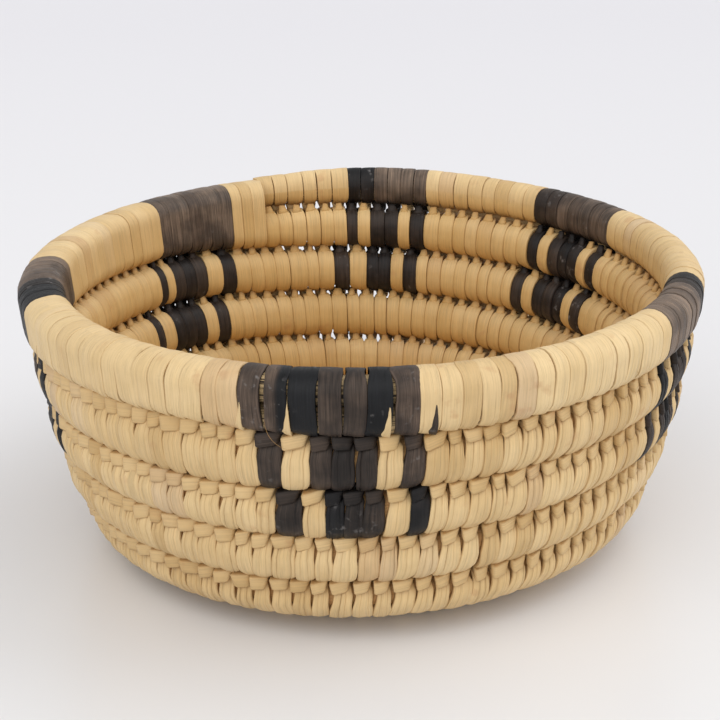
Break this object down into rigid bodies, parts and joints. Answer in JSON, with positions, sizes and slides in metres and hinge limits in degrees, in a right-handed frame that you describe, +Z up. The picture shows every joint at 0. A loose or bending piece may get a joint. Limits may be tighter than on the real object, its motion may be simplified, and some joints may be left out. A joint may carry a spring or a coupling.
{
  "type": "coiled basket",
  "caption": "Round coiled basket with gently flared walls, a thick wrapped rim and dark striped motifs; holds small dry things on a table or shelf",
  "frame": {"origin": "middle of the underside, on the surface that the basket stands on", "axes": "+Z up through the opening; -Y towards the camera of the picture; +X to its right"},
  "size_m": [0.2385, 0.2387, 0.1008],
  "materials": {
    "natural_strip": "dry split leaf, satin",
    "dark_strip": "dark dyed leaf, satin",
    "fibre_bundle": "raw fibre, matte"
  },
  "bodies": {
    "root": {"foundation_coil": "fibre_bundle", "motif_dark_1": "dark_strip", "motif_light_1a": "natural_strip", "motif_light_1b": "natural_strip", "motif_dark_2": "dark_strip", "motif_light_2a": "natural_strip", "motif_light_2b": "natural_strip", "motif_dark_3": "dark_strip", "motif_light_3a": "natural_strip", "motif_light_3b": "natural_strip", "motif_dark_4": "dark_strip", "motif_light_4a": "natural_strip", "motif_light_4b": "natural_strip", "motif_dark_5": "dark_strip", "motif_light_5a": "natural_strip", "motif_light_5b": "natural_strip", "motif_dark_6": "dark_strip", "motif_light_6a": "natural_strip", "motif_light_6b": "natural_strip", "rim_natural_1": "natural_strip", "rim_natural_2": "natural_strip", "rim_natural_3": "natural_strip", "rim_natural_4": "natural_strip", "rim_natural_5": "natural_strip", "rim_natural_6": "natural_strip", "rim_natural_7": "natural_strip", "patterned_row_natural_1": "natural_strip", "patterned_row_natural_2": "natural_strip", "patterned_row_natural_3": "natural_strip", "patterned_row_natural_4": "natural_strip", "patterned_row_natural_5": "natural_strip", "patterned_row_natural_6": "natural_strip", "patterned_row_natural_7": "natural_strip", "patterned_row_natural_8": "natural_strip", "patterned_row_natural_9": "natural_strip", "patterned_row_natural_10": "natural_strip", "patterned_row_natural_11": "natural_strip", "patterned_row_natural_12": "natural_strip", "plain_row_natural_1": "natural_strip", "plain_row_natural_2": "natural_strip", "plain_row_natural_3": "natural_strip", "plain_row_natural_4": "natural_strip", "plain_row_natural_5": "natural_strip", "plain_row_natural_6": "natural_strip", "plain_row_natural_7": "natural_strip", "plain_row_natural_8": "natural_strip", "plain_row_natural_9": "natural_strip", "plain_row_natural_10": "natural_strip", "plain_row_natural_11": "natural_strip", "plain_row_natural_12": "natural_strip", "floor_row_1": "natural_strip", "floor_row_2": "natural_strip", "floor_row_3": "natural_strip", "floor_row_4": "natural_strip", "floor_start": "natural_strip"}
  },
  "joints": []
}
